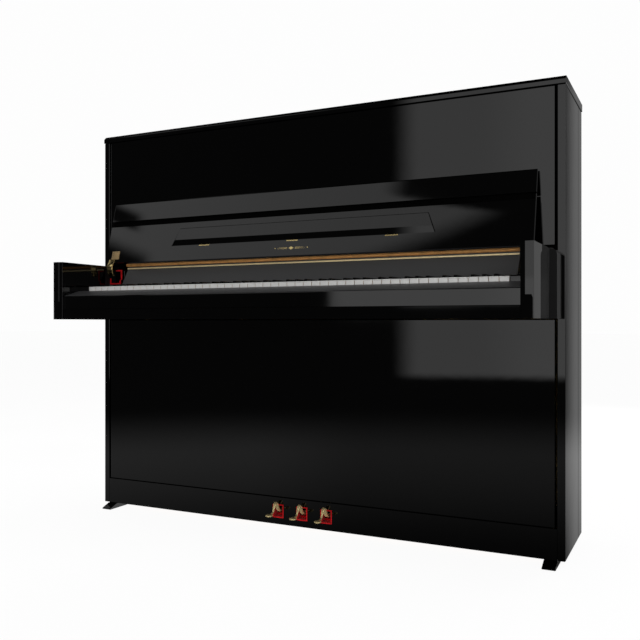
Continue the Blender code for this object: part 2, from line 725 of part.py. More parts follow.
def hammers():
    """Heads as one comb, with one plate for the shanks and the rail that they rest on."""
    heads = comb_outline(88, 0.0098, (0.056, 0.064), lambda x: 0.104, ACTION_HALF_WIDTH)
    made = slab("hammers", heads, 1.018, 1.042, "xy", FELT)
    reach = ACTION_HALF_WIDTH - 0.003
    shanks = box("shanks", (-reach, 0.082, 0.916), (reach, 0.088, 1.022), BEECH)
    rest = box("rest_rail", (-reach, 0.068, 0.985), (reach, 0.083, 0.997), BEECH)
    join(made, shanks, rest)
    hang(pivot("hammer_pivot", (0, *HAMMER_PIVOT)), made)


def dampers():
    """A comb of damper blocks on a lifting bar. The bass dampers stop at the nearer strings."""
    def tip(x):
        return BASS_STRING_Y[0] - 0.0005 if x < -0.10 else TREBLE_STRING_Y[0] - 0.0005

    reach = 0.505
    comb = comb_outline(66, 0.0085, (0.116, 0.121), tip, reach)
    shifted = [(x - (ACTION_HALF_WIDTH - reach), y) for x, y in comb]
    made = slab("dampers", shifted, 0.950, 0.978, "xy", FELT)
    low, high = -ACTION_HALF_WIDTH + 0.003, 2 * reach - ACTION_HALF_WIDTH - 0.003
    join(made, box("levers", (low, 0.1125, 0.903), (high, 0.1165, 0.955), BEECH))
    hang(pivot("damper_pivot", (0, *DAMPER_PIVOT)), made)


def action_rails():
    profile = [(0.060, 0.880), (0.104, 0.880), (0.104, 0.889), (0.070, 0.889), (0.070, 0.912),
               (0.060, 0.912)]
    slab("action_rail", profile, -0.6995, 0.6995, "yz", ALUMINIUM)
    reach = ACTION_HALF_WIDTH
    box("muffler_rail", (-reach, 0.1215, 1.052), (reach, 0.1245, 1.082), FELT)


side_panels()
feet()
bottom_board()
plinth_rail()
doors()
top_lid()
back_frame()
soundboard()
bridges()
strings()
iron_plate()
pin_block()
keybed()
arms()
keyslip()
key_blocks()
key_frame()
keys()
fall_rail()
fallboard()
pedals()
hammers()
dampers()
action_rails()
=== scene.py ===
"""The looks of the upright piano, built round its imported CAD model.

Metres, +Z up, +X to the player's right, +Y from the player into the piano.
"""

import json
import math

import bmesh
import bpy
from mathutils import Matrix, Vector


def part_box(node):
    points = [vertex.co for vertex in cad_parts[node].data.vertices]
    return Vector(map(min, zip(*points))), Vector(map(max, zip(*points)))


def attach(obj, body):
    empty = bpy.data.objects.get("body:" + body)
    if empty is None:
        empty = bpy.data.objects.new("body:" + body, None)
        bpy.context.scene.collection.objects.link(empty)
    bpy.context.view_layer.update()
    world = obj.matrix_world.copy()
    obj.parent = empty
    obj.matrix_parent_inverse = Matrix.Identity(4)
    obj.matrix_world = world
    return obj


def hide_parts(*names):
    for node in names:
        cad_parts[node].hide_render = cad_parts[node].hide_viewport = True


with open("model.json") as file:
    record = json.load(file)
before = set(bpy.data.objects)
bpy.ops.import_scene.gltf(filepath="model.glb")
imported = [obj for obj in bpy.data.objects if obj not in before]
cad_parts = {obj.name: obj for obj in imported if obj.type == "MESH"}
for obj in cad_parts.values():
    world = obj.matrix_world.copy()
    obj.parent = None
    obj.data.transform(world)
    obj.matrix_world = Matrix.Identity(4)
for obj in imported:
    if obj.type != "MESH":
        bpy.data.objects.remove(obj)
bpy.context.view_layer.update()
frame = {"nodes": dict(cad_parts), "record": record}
nodes = frame["nodes"]

# ---------------------------------------------------------------- camera
CAMERA_PLACE = (1.007, -1.955, 0.597)
CAMERA_YAW = math.radians(26.13)  # to the left of +Y
CAMERA_LENS = 43.27
SENSOR_WIDTH = 36
HORIZON_SHIFT = 0.0033


def make_camera():
    camera = bpy.data.objects.new("camera", bpy.data.cameras.new("camera"))
    bpy.context.scene.collection.objects.link(camera)
    camera.location = CAMERA_PLACE
    camera.rotation_euler = (math.pi / 2, 0, CAMERA_YAW)
    camera.data.lens = CAMERA_LENS
    camera.data.sensor_width = SENSOR_WIDTH
    camera.data.shift_y = HORIZON_SHIFT
    bpy.context.scene.camera = camera


# ---------------------------------------------------------------- node helpers
class Nodes:
    """Short calls for building a node tree."""

    def __init__(self, tree):
        self.tree = tree

    def add(self, kind, **settings):
        node = self.tree.nodes.new(kind)
        for name, value in settings.items():
            setattr(node, name, value)
        return node

    def link(self, source, target):
        self.tree.links.new(source, target)

    def put(self, socket, value):
        """A number or colour is set on the socket, and another socket is linked to it."""
        if hasattr(value, "is_output"):
            self.link(value, socket)
        else:
            socket.default_value = value

    def math(self, operation, a, b=0.0):
        node = self.add("ShaderNodeMath", operation=operation)
        self.put(node.inputs[0], a)
        self.put(node.inputs[1], b)
        return node.outputs[0]

    def ramp(self, value, low, high, to_low=0.0, to_high=1.0, smooth=True):
        """The value, carried from the span low..high to the span to_low..to_high."""
        kind = "SMOOTHSTEP" if smooth else "LINEAR"
        node = self.add("ShaderNodeMapRange", interpolation_type=kind)
        for socket, number in zip(node.inputs, (value, low, high, to_low, to_high)):
            self.put(socket, number)
        return node.outputs[0]

    def noise(self, vector, scale, detail=3.0, roughness=0.5, distortion=0.0):
        node = self.add("ShaderNodeTexNoise")
        self.link(vector, node.inputs["Vector"])
        for name, number in (("Scale", scale), ("Detail", detail), ("Roughness", roughness),
                             ("Distortion", distortion)):
            node.inputs[name].default_value = number
        return node.outputs["Fac"]

    def stretch(self, vector, axis, share):
        """Coordinates in which a noise is drawn out along one axis."""
        node = self.add("ShaderNodeMapping")
        self.link(vector, node.inputs["Vector"])
        node.inputs["Scale"].default_value = [share if name == axis else 1.0 for name in "xyz"]
        return node.outputs[0]

    def mix(self, factor, a, b):
        node = self.add("ShaderNodeMix", data_type="RGBA")
        self.put(node.inputs["Factor"], factor)
        for socket, colour in zip((node.inputs[6], node.inputs[7]), (a, b)):
            self.put(socket, colour if hasattr(colour, "is_output") else (*colour, 1.0))
        return node.outputs[2]

    def bump(self, height, distance):
        node = self.add("ShaderNodeBump")
        node.inputs["Distance"].default_value = distance
        node.inputs["Strength"].default_value = 1.0
        self.link(height, node.inputs["Height"])
        return node.outputs[0]


# ---------------------------------------------------------------- light
ROOM_SEEN = 0.985  # the white room, as the camera sees it
ROOM_MIRRORED = 0.0005  # the dark between the soft boxes, as the lacquer mirrors it
FLOOR_LIGHT = 0.945  # what the floor gives off itself


def box_of_light(n, turn, height, turns, heights, edge):
    """1 inside a rectangle of directions, fading over the edge in degrees."""
    parts = [
        n.ramp(turn, turns[0] - edge[0], turns[0] + edge[0]),
        n.ramp(turn, turns[1] - edge[0], turns[1] + edge[0], 1.0, 0.0),
        n.ramp(height, heights[0] - edge[1], heights[0] + edge[1]),
        n.ramp(height, heights[1] - edge[1], heights[1] + edge[1], 1.0, 0.0),
    ]
    product = parts[0]
    for part in parts[1:]:
        product = n.math("MULTIPLY", product, part)
    return product


def make_world():
    """A white room for the camera, and soft boxes in a dark room for what the lacquer mirrors.

    A direction is given by its turn, in degrees to the player's left of the direction from the
    piano to the player, and its height above the horizon.
    """
    world = bpy.data.worlds.new("studio")
    bpy.context.scene.world = world
    world.use_nodes = True
    world.node_tree.nodes.clear()
    n = Nodes(world.node_tree)
    split = n.add("ShaderNodeSeparateXYZ")
    n.link(n.add("ShaderNodeTexCoord").outputs["Generated"], split.inputs[0])
    x, y, z = split.outputs
    to_left = n.math("MULTIPLY", x, -1.0)
    to_player = n.math("MULTIPLY", y, -1.0)
    turn = n.math("DEGREES", n.math("ARCTAN2", to_left, to_player))
    height = n.math("DEGREES", n.math("ARCSINE", z))
    front = box_of_light(n, turn, height, (-58, 19.8), (-4.0, 19), (1.1, 0.35))
    front_low = box_of_light(n, turn, height, (15, 25.4), (0.7, 6), (0.4, 0.4))
    band = box_of_light(n, turn, height, (-20, 25), (0.4, 3.2), (0.6, 0.3))
    # the raised box: its lower right corner is cut off on the slant
    raised = box_of_light(n, turn, height, (-60, 49.0), (22, 42.5), (1.0, 1.4))
    slant = n.math("ADD", height, n.math("MULTIPLY", turn, 0.5))
    raised = n.math("MULTIPLY", raised, n.ramp(slant, 44.4, 46.8))
    # a step is cut out of its top, a corner out of its left end, and a bar lies across it above that
    step = n.math("MULTIPLY", n.ramp(height, 36.7, 37.3), n.ramp(turn, 24.4, 27.4, 1.0, 0.0))
    corner = n.math("MULTIPLY", n.ramp(turn, 43.8, 45.2), n.ramp(height, 26.75, 28.1, 1.0, 0.0))
    bar = n.math("MULTIPLY", n.ramp(turn, 45.6, 46.8),
                 n.math("MULTIPLY", n.ramp(height, 28.6, 29.0), n.ramp(height, 29.6, 30.4, 1.0, 0.0)))
    for hole in (step, corner, bar):
        raised = n.math("MULTIPLY", raised, n.math("SUBTRACT", 1.0, hole))
    floor_glow = box_of_light(n, turn, height, (-400, 400), (-30, -8), (1, 1.8))
    floor_glow = n.math("MULTIPLY", floor_glow, n.ramp(height, -17.0, -8.8))
    # each light with its strength: in front and above, on the floor, at the sides, and behind
    boxes = [
        (n.math("MAXIMUM", front, front_low), n.ramp(turn, 10, 15, 1.35, 1.1)),
        (band, 0.35),
        (raised, n.ramp(turn, 24, 44, 0.91, 1.00)),
        (floor_glow, n.ramp(turn, 22, 32, 0.23, 0.38)),
        (box_of_light(n, turn, height, (-128, -62), (2, 48), (3, 4)), 0.9),
        (box_of_light(n, turn, height, (72, 122), (2, 42), (3, 4)), 0.5),
        (box_of_light(n, turn, height, (130, 172), (13, 26), (2, 3)), 0.04),
        (box_of_light(n, turn, height, (-163, -132), (-25, 44), (3, 3)), 1.1),
        (n.math("MINIMUM", n.ramp(turn, -172.7, -171.5, 0.50, 0.042, smooth=False), 0.31),
         n.ramp(height, 50, 56, 1.0, 0.0)),
        (box_of_light(n, turn, height, (-170.9, -169.0), (-20, 30), (0.3, 3)), 0.2),
    ]
    total = ROOM_MIRRORED
    for light, strength in boxes:
        total = n.math("ADD", total, n.math("MULTIPLY", light, strength))
    reflected = n.add("ShaderNodeBackground")
    n.link(total, reflected.inputs["Strength"])
    seen = n.add("ShaderNodeBackground")
    seen.inputs["Color"].default_value = (1, 1, 1, 1)
    seen.inputs["Strength"].default_value = ROOM_SEEN
    mix = n.add("ShaderNodeMixShader")
    n.link(n.add("ShaderNodeLightPath").outputs["Is Camera Ray"], mix.inputs[0])
    n.link(reflected.outputs[0], mix.inputs[1])
    n.link(seen.outputs[0], mix.inputs[2])
    n.link(mix.outputs[0], n.add("ShaderNodeOutputWorld").inputs[0])


def soft_light(name, place, target, size, power):
    """A large lamp that lights matt surfaces. The lacquer mirrors the room, not the lamp."""
    lamp = bpy.data.lights.new(name, "AREA")
    lamp.shape = "RECTANGLE"
    lamp.size, lamp.size_y = size
    lamp.energy = power
    made = bpy.data.objects.new(name, lamp)
    bpy.context.scene.collection.objects.link(made)
    made.location = place
    away = Vector(place) - Vector(target)
    made.rotation_euler = away.to_track_quat("Z", "Y").to_euler()
    made.visible_glossy = False
    made.visible_camera = False


def make_lights():
    middle = (0, 0, 0.7)
    soft_light("front_lamp", (1.2, -3.2, 1.6), middle, (3.0, 2.0), 27)
    soft_light("left_lamp", (-3.0, -1.2, 1.8), middle, (2.4, 2.0), 24)
    soft_light("top_lamp", (0, -0.2, 3.4), middle, (3.0, 2.0), 40)
    soft_light("back_lamp", (0.8, 3.4, 1.7), middle, (3.0, 2.2), 60)


def make_floor():
    """A pale floor that gives off most of its own light, so that only a faint shadow shows."""
    mesh = bpy.data.meshes.new("floor")
    shape = bmesh.new()
    bmesh.ops.create_grid(shape, x_segments=1, y_segments=1, size=40)
    shape.to_mesh(mesh)
    shape.free()
    floor = bpy.data.objects.new("floor", mesh)
    bpy.context.scene.collection.objects.link(floor)
    floor.location = (0, 0, -0.0005)
    floor.visible_glossy = False
    made = bpy.data.materials.new("pale_floor")
    made.use_nodes = True
    n = Nodes(made.node_tree)
    shader = made.node_tree.nodes["Principled BSDF"]
    place = n.add("ShaderNodeTexCoord").outputs["Object"]
    cloud = n.noise(place, 1.5)
    n.link(n.mix(n.ramp(cloud, 0.3, 0.7), (0.055, 0.055, 0.055), (0.065, 0.065, 0.065)),
           shader.inputs["Base Color"])
    shader.inputs["Roughness"].default_value = 0.9
    shader.inputs["Emission Color"].default_value = (1, 1, 1, 1)
    shader.inputs["Emission Strength"].default_value = FLOOR_LIGHT
    mesh.materials.append(made)


# ---------------------------------------------------------------- materials
def surface(name, roughness, metallic=0.0, **more):
    """A new material and its Nodes, with the numbers that are the same all over set on sockets."""
    made = bpy.data.materials.new(name)
    made.use_nodes = True
    shader = made.node_tree.nodes["Principled BSDF"]
    shader.inputs["Roughness"].default_value = roughness
    shader.inputs["Metallic"].default_value = metallic
    for socket, value in more.items():
        shader.inputs[socket.replace("_", " ")].default_value = value
    n = Nodes(made.node_tree)
    place = n.add("ShaderNodeTexCoord").outputs["Object"]
    return made, n, place, shader


def scaled(colour, share):
    return tuple(c * share for c in colour)


def lacquer(name):
    """Polished polyester: nearly black, with a faint cloud in its gloss and the least ripple."""
    made, n, place, shader = surface(name, 0.03)
    black = (0.00012, 0.00012, 0.00014)
    n.link(n.mix(n.noise(place, 9.0, 2.0), black, scaled(black, 1.6)), shader.inputs["Base Color"])
    haze = n.noise(place, 3.5, 4.0, 0.6)
    n.link(n.ramp(haze, 0.3, 0.75, 0.018, 0.050), shader.inputs["Roughness"])
    n.link(n.bump(n.noise(place, 38.0, 1.0), 0.00001), shader.inputs["Normal"])
    return made


def lacquer_with_painted_reflection(name, colour, roughness):
    """Black lacquer rubbed down to a soft sheen, with a fine even grain; the grey base colour it is given is
    a painted reflection.
    """
    made, n, place, shader = surface(name, roughness)
    grain = n.noise(place, 420.0, 3.0, 0.6)
    n.link(n.mix(grain, scaled(colour, 0.8), colour), shader.inputs["Base Color"])
    n.link(n.ramp(grain, 0.3, 0.7, roughness * 0.9, roughness * 1.1), shader.inputs["Roughness"])
    n.link(n.bump(grain, 0.00002), shader.inputs["Normal"])
    return made


def soften_slope_painted_reflection(made, roughness, colour):
    """Gives the faces that look upwards a softer gloss and a greyer black than the rest of a rail; the greyer
    black is a painted reflection.
    """
    n = Nodes(made.node_tree)
    shader = made.node_tree.nodes["Principled BSDF"]
    polished = shader.inputs["Roughness"].links[0].from_socket
    black = shader.inputs["Base Color"].links[0].from_socket
    split = n.add("ShaderNodeSeparateXYZ")
    n.link(n.add("ShaderNodeNewGeometry").outputs["Normal"], split.inputs[0])
    upward = n.ramp(split.outputs[2], 0.5, 0.8)
    soft = n.math("MULTIPLY", upward, roughness)
    n.link(n.math("MAXIMUM", polished, soft), shader.inputs["Roughness"])
    # painted reflection: the upward faces are mixed towards the given greyer colour
    n.link(n.mix(upward, black, colour), shader.inputs["Base Color"])
    return made


def dull_root(made, start, roughness):
    """Rubs down the outer face of an arm from its root's front (at y = start) to the case."""
    n = Nodes(made.node_tree)
    shader = made.node_tree.nodes["Principled BSDF"]
    polished = shader.inputs["Roughness"].links[0].from_socket
    facing, place = n.add("ShaderNodeSeparateXYZ"), n.add("ShaderNodeSeparateXYZ")
    n.link(n.add("ShaderNodeNewGeometry").outputs["Normal"], facing.inputs[0])
    n.link(n.add("ShaderNodeTexCoord").outputs["Object"], place.inputs[0])
    outward = n.ramp(n.math("ABSOLUTE", facing.outputs[0]), 0.90, 0.98)
    behind = n.ramp(place.outputs[1], start - 0.001, start + 0.001)
    mask = n.math("MULTIPLY", outward, behind)
    n.link(n.math("MAXIMUM", polished, n.math("MULTIPLY", mask, roughness)), shader.inputs["Roughness"])
    return made


def wood(name, light, dark, along, scale, roughness):
    """Straight-grained wood. along is the axis that the grain follows."""
    made, n, place, shader = surface(name, roughness)
    grain_space = n.stretch(place, along, 0.045)
    bands = n.noise(grain_space, scale, 5.0, 0.6, 0.4)
    fibres = n.noise(grain_space, scale * 7, 3.0, 0.7)
    figure = n.math("ADD", n.math("MULTIPLY", bands, 0.7), n.math("MULTIPLY", fibres, 0.3))
    n.link(n.mix(n.ramp(figure, 0.36, 0.64), dark, light), shader.inputs["Base Color"])
    n.link(n.ramp(fibres, 0.3, 0.7, roughness - 0.07, roughness + 0.08), shader.inputs["Roughness"])
    n.link(n.bump(figure, 0.0001), shader.inputs["Normal"])
    return made


def metal(name, colour, roughness, along="x", wear=0.12, metallic=1.0):
    """Polished or brushed metal with fine lines along one axis and slight tarnish."""
    made, n, place, shader = surface(name, roughness, metallic)
    lines = n.noise(n.stretch(place, along, 0.03), 300.0, 2.0)
    spots = n.noise(place, 45.0, 4.0, 0.6)
    dull = scaled(colour, 1 - wear * 2)
    n.link(n.mix(n.ramp(spots, 0.42, 0.72), colour, dull), shader.inputs["Base Color"])
    n.link(n.ramp(lines, 0.3, 0.7, roughness * 0.75, roughness * 1.35), shader.inputs["Roughness"])
    n.link(n.bump(lines, 0.00002), shader.inputs["Normal"])
    return made


def felt(name, colour, shade=0.75, sheen=0.4, gloss=0.5):
    """Pressed wool: matt, with a fuzz of fine bumps."""
    made, n, place, shader = surface(name, 0.95, Sheen_Weight=sheen, Sheen_Roughness=0.5,
                                     Specular_IOR_Level=gloss)
    fuzz = n.noise(place, 900.0, 4.0, 0.7)
    patches = n.noise(place, 60.0, 2.0)
    both = n.math("ADD", n.math("MULTIPLY", fuzz, 0.6), n.math("MULTIPLY", patches, 0.4))
    n.link(n.mix(n.ramp(both, 0.35, 0.65), scaled(colour, shade), colour), shader.inputs["Base Color"])
    n.link(n.bump(fuzz, 0.0006), shader.inputs["Normal"])
    return made


def key_plastic(name, colour, roughness, streak):
    """Key covering: even colour with a faint streak along the key and a soft gloss."""
    made, n, place, shader = surface(name, roughness)
    lines = n.noise(n.stretch(place, "y", 0.05), 120.0, 3.0)
    n.link(n.mix(n.ramp(lines, 0.3, 0.7), scaled(colour, streak), colour), shader.inputs["Base Color"])
    n.link(n.ramp(lines, 0.3, 0.7, roughness * 0.8, roughness * 1.25), shader.inputs["Roughness"])
    n.link(n.bump(lines, 0.00002), shader.inputs["Normal"])
    return made


def cast_iron(name):
    """Bronze-painted casting with a pebbled skin."""
    made, n, place, shader = surface(name, 0.42, 0.55)
    pebbles = n.noise(place, 260.0, 3.0, 0.6)
    cloud = n.noise(place, 8.0, 3.0)
    n.link(n.mix(cloud, (0.46, 0.31, 0.11), (0.62, 0.44, 0.17)), shader.inputs["Base Color"])
    n.link(n.ramp(pebbles, 0.3, 0.7, 0.34, 0.52), shader.inputs["Roughness"])
    n.link(n.bump(pebbles, 0.0004), shader.inputs["Normal"])
    return made


MATERIALS = {
    "black_lacquer": lacquer("black_lacquer"),
    "white_key": key_plastic("white_key", (0.67, 0.665, 0.650), 0.22, 0.96),
    "black_key": key_plastic("black_key", (0.006, 0.006, 0.006), 0.10, 0.6),
    "brass": metal("brass", (0.80, 0.62, 0.28), 0.16),
    "spruce": wood("spruce", (0.62, 0.42, 0.21), (0.43, 0.25, 0.10), "z", 85.0, 0.4),
    "beech": wood("beech", (0.50, 0.31, 0.16), (0.36, 0.20, 0.09), "x", 50.0, 0.5),
    "gold_iron": cast_iron("gold_iron"),
    "string_steel": metal("string_steel", (0.60, 0.60, 0.58), 0.28, "z"),
    "wound_copper": metal("wound_copper", (0.66, 0.33, 0.18), 0.34, "z"),
    "white_felt": felt("white_felt", (0.72, 0.69, 0.61)),
    "red_felt": felt("red_felt", (0.60, 0.004, 0.008), 0.50, sheen=0.06, gloss=0.2),
    "rail_aluminium": metal("rail_aluminium", (0.60, 0.60, 0.61), 0.35),
    "copper_trim": metal("copper_trim", (0.95, 0.47, 0.15), 0.36, metallic=0.35),
    "black_felt": felt("black_felt", (0.0012, 0.0012, 0.0012), sheen=0.0, gloss=0.0),
}
STRIP_BRASS = metal("strip_brass", (0.98, 0.80, 0.44), 0.34, metallic=0.30, wear=0.06)
PEDAL_BRASS = metal("pedal_brass", (1.0, 0.80, 0.40), 0.18, metallic=0.74, wear=0.06)
DULL_BRASS = metal("dull_brass", (0.46, 0.32, 0.16), 0.34, metallic=0.65)
ROOT_START_Y = -0.084
ARM_LACQUER = dull_root(lacquer("arm_lacquer"), ROOT_START_Y, 0.75)
SOFTER = {
    "left_arm": ARM_LACQUER,
    "right_arm": ARM_LACQUER,
    # the fall rail's grey base colour is a painted reflection of a soft box
    "fall_rail": lacquer_with_painted_reflection("rail_grey_painted_reflection", (0.074, 0.074, 0.075), 0.34),
    # the keyslip's slope takes a greyer black as a painted reflection
    "keyslip": soften_slope_painted_reflection(lacquer("keyslip_painted_reflection"), 0.45, (0.030, 0.030, 0.031)),
}


def dress_cad_nodes():
    """Each CAD node takes its slot's material, or one of its own."""
    slots = {s["node"]: s["material_slot"] for s in frame["record"]["subparts"]}
    for name, node in nodes.items():
        node.data.materials.clear()
        node.data.materials.append(SOFTER.get(name, MATERIALS[slots[name]]))


# ---------------------------------------------------------------- modelling helpers
PLANES = {"xy": (0, 1, 2), "xz": (0, 2, 1), "yz": (1, 2, 0)}
ROUNDED_FROM = math.radians(35)  # an edge that turns by more than this is rounded
SHARP_FROM = math.radians(40)  # and one that turns by more than this stays sharp


class Shape:
    """Gathers closed solids into one mesh."""

    def __init__(self):
        self.mesh = bmesh.new()

    def prism(self, outline, low, high, plane="xy"):
        """A flat outline in the named plane, filled between low and high across it."""
        a, b, c = PLANES[plane]
        rings = []
        for level in (low, high):
            ring = []
            for u, v in outline:
                place = [0.0, 0.0, 0.0]
                place[a], place[b], place[c] = u, v, level
                ring.append(self.mesh.verts.new(place))
            rings.append(ring)
        self.skin(rings)
        return self

    def box(self, low, high):
        corners = [(low[0], low[1]), (high[0], low[1]), (high[0], high[1]), (low[0], high[1])]
        return self.prism(corners, low[2], high[2])

    def skin(self, rings):
        """Side faces between rings of the same size, and a face over each end."""
        for near, far in zip(rings, rings[1:]):
            for i, vertex in enumerate(near):
                j = (i + 1) % len(near)
                self.mesh.faces.new((vertex, near[j], far[j], far[i]))
        self.mesh.faces.new(list(reversed(rings[0])))
        self.mesh.faces.new(rings[-1])

    def loft(self, rings):
        """A solid through rings of points."""
        self.skin([[self.mesh.verts.new(p) for p in ring] for ring in rings])
        return self

    def rod(self, points, radius, sides=8):
        """A round bar through the points, with one radius or one for each point."""
        points = [Vector(p) for p in points]
        radii = radius if isinstance(radius, (list, tuple)) else [radius] * len(points)
        ahead = (points[1] - points[0]).normalized()
        side = ahead.orthogonal().normalized()
        rings = []
        for i, (centre, r) in enumerate(zip(points, radii)):
            before, after = points[max(i - 1, 0)], points[min(i + 1, len(points) - 1)]
            ahead = (after - before).normalized()
            side = (side - ahead * side.dot(ahead)).normalized()
            up = ahead.cross(side)
            turns = [2 * math.pi * k / sides for k in range(sides)]
            rings.append([centre + (side * math.cos(t) + up * math.sin(t)) * r for t in turns])
        return self.loft(rings)

    def piece(self, name, slot, body, edge=0.0, segments=2, replaces=(), material=None):
        """Makes the mesh object, rounds its edges, and hands it to its body.

        It takes the slot's material, unless another one is given.
        """
        bmesh.ops.recalc_face_normals(self.mesh, faces=self.mesh.faces)
        data = bpy.data.meshes.new(name)
        self.mesh.to_mesh(data)
        self.mesh.free()
        data.materials.append(material or MATERIALS[slot])
        made = bpy.data.objects.new(name, data)
        bpy.context.scene.collection.objects.link(made)
        if edge:
            bevel = made.modifiers.new("rounded edges", "BEVEL")
            bevel.width = edge
            bevel.segments = segments
            bevel.limit_method = "ANGLE"
            bevel.angle_limit = ROUNDED_FROM
            bevel.harden_normals = False
            graph = bpy.context.evaluated_depsgraph_get()
            made.data = bpy.data.meshes.new_from_object(made.evaluated_get(graph))
            made.modifiers.clear()
        made.data.polygons.foreach_set("use_smooth", [True] * len(made.data.polygons))
        made.data.set_sharp_from_angle(angle=SHARP_FROM)
        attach(made, body)
        if replaces:
            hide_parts(*replaces)
        return made


def arc(centre, radius, start, end, steps):
    """Points along an arc, with angles in degrees."""
    turns = [math.radians(start + (end - start) * i / steps) for i in range(steps + 1)]
    return [(centre[0] + radius * math.cos(t), centre[1] + radius * math.sin(t)) for t in turns]


# ---------------------------------------------------------------- keys
WHITE_WIDTH = 0.0240
WHITE_FRONT_Y = -0.197
BLACK_FRONT_Y = -0.147
BLACK_REAR_Y = -0.0505
HEAD_REAR_Y = BLACK_FRONT_Y - 0.001
KEY_TAIL_Y = -0.047
KEY_REAR_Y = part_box("c_key")[1].y
CAPSTAN_Y = 0.092
BALANCE_Y = 0.010  # where a key rocks on the balance rail
KEY_BOTTOM, KEY_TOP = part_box("c_key")[0].z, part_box("c_key")[1].z
BLACK_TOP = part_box("c_sharp_key")[1].z
BLACK_HALF = 0.0054
KEY_PLAY = 0.0005
COVER = 0.0024  # thickness of a white key's covering
WHITE_EDGE, BLACK_EDGE = 0.0006, 0.0010  # how far the edges are rounded
WHITE_COUNT = 52
FIRST_WHITE_X = -WHITE_COUNT // 2 * WHITE_WIDTH
FIRST_C_X = FIRST_WHITE_X + 2 * WHITE_WIDTH
NOTES = ("c", "c_sharp", "d", "d_sharp", "e", "f", "f_sharp", "g", "g_sharp", "a", "a_sharp", "b")
FIRST_NOTE, LAST_NOTE = -3, 84  # counted from the lowest C
NOTE_COUNT = LAST_NOTE - FIRST_NOTE + 1
MIDDLE_OCTAVE = 3


def note_slots(octave_x):
    """For each of the twelve notes: (name, is it white, tail's low x, tail's high x, head's low x)."""
    slots, x, white = [], octave_x, 0
    for group in (NOTES[:5], NOTES[5:]):
        whites = (len(group) + 1) // 2
        pitch = whites * WHITE_WIDTH / len(group)
        for i, name in enumerate(group):
            is_white = i % 2 == 0
            head = octave_x + white * WHITE_WIDTH
            slots.append((name, is_white, x + i * pitch, x + (i + 1) * pitch, head))
            white += is_white
        x += whites * WHITE_WIDTH
    return slots


def keyboard_slots():
    """All 88 notes as (note, octave, white, tail low, tail high, head low)."""
    found = []
    for octave in range(-1, 8):
        for name, white, low, high, head in note_slots(FIRST_C_X + octave * 7 * WHITE_WIDTH):
            place = octave * 12 + NOTES.index(name)
            if FIRST_NOTE <= place <= LAST_NOTE:
                low = FIRST_WHITE_X if place == FIRST_NOTE else low
                high = head + WHITE_WIDTH if place == LAST_NOTE else high
                found.append((name, octave, white, low, high, head))
    return found


def white_outline(low_tail, high_tail, head, front, rear, inset=0.0):
    """A white key from above: a wide head and a narrow tail."""
    low, high = head + KEY_PLAY + inset, head + WHITE_WIDTH - KEY_PLAY - inset
    tail = (max(low_tail + KEY_PLAY + inset, low), min(high_tail - KEY_PLAY - inset, high))
    points = [(low, front), (high, front)]
    if tail[1] < high:
        points += [(high, HEAD_REAR_Y - inset), (tail[1], HEAD_REAR_Y - inset)]
    points += [(tail[1], rear), (tail[0], rear)]
    if tail[0] > low:
        points += [(tail[0], HEAD_REAR_Y - inset), (low, HEAD_REAR_Y - inset)]
    return points


def white_cover(shape, low, high, head):
    """The moulded covering with its front apron."""
    under = KEY_TOP - COVER
    shape.prism(white_outline(low, high, head, WHITE_FRONT_Y, KEY_TAIL_Y), under, KEY_TOP)
    left, right = head + KEY_PLAY + 0.0002, head + WHITE_WIDTH - KEY_PLAY - 0.0002
    shape.box((left, WHITE_FRONT_Y + 0.0005, KEY_BOTTOM + 0.0004), (right, WHITE_FRONT_Y + 0.0022, under))


def white_stick(shape, low, high, head):
    """The wood under a white key's covering."""
    outline = white_outline(low, high, head, WHITE_FRONT_Y + 0.0023, KEY_REAR_Y, 0.0003)
    shape.prism(outline, KEY_BOTTOM, KEY_TOP - COVER - 0.0001)


def black_cover(shape, middle):
    """A sharp with sides that lean in and a sloping front."""
    base, top = KEY_TOP - 0.0004, BLACK_TOP
    wide, narrow = BLACK_HALF, BLACK_HALF - 0.0008
    rings = []
    for y, z, half in ((BLACK_FRONT_Y, base, wide), (BLACK_REAR_Y, base, wide),
                       (BLACK_REAR_Y, top, narrow), (BLACK_FRONT_Y + 0.0055, top, narrow)):
        rings.append([(middle - half, y, z), (middle + half, y, z)])
    (a, b), (c, d), (e, f), (g, h) = rings
    shape.loft([[a, b, d, c], [g, h, f, e]])


def black_stick(shape, middle):
    """The wood under a sharp, whose underside rises from the balance rail to its front."""
    half = BLACK_HALF - 0.0003
    front, top, front_bottom = BLACK_FRONT_Y + 0.0005, KEY_TOP - 0.0006, 0.6838
    profile = [(front, front_bottom), (BALANCE_Y, KEY_BOTTOM), (KEY_REAR_Y, KEY_BOTTOM),
               (KEY_REAR_Y, top), (front, top)]
    shape.prism(profile, middle - half, middle + half, "yz")


def key_capstan(shape, middle):
    """The capstan on the rear of a key, which lifts the sticker."""
    shape.rod([(middle, CAPSTAN_Y, KEY_TOP - 0.002), (middle, CAPSTAN_Y, KEY_TOP + 0.008)], 0.0028, 8)


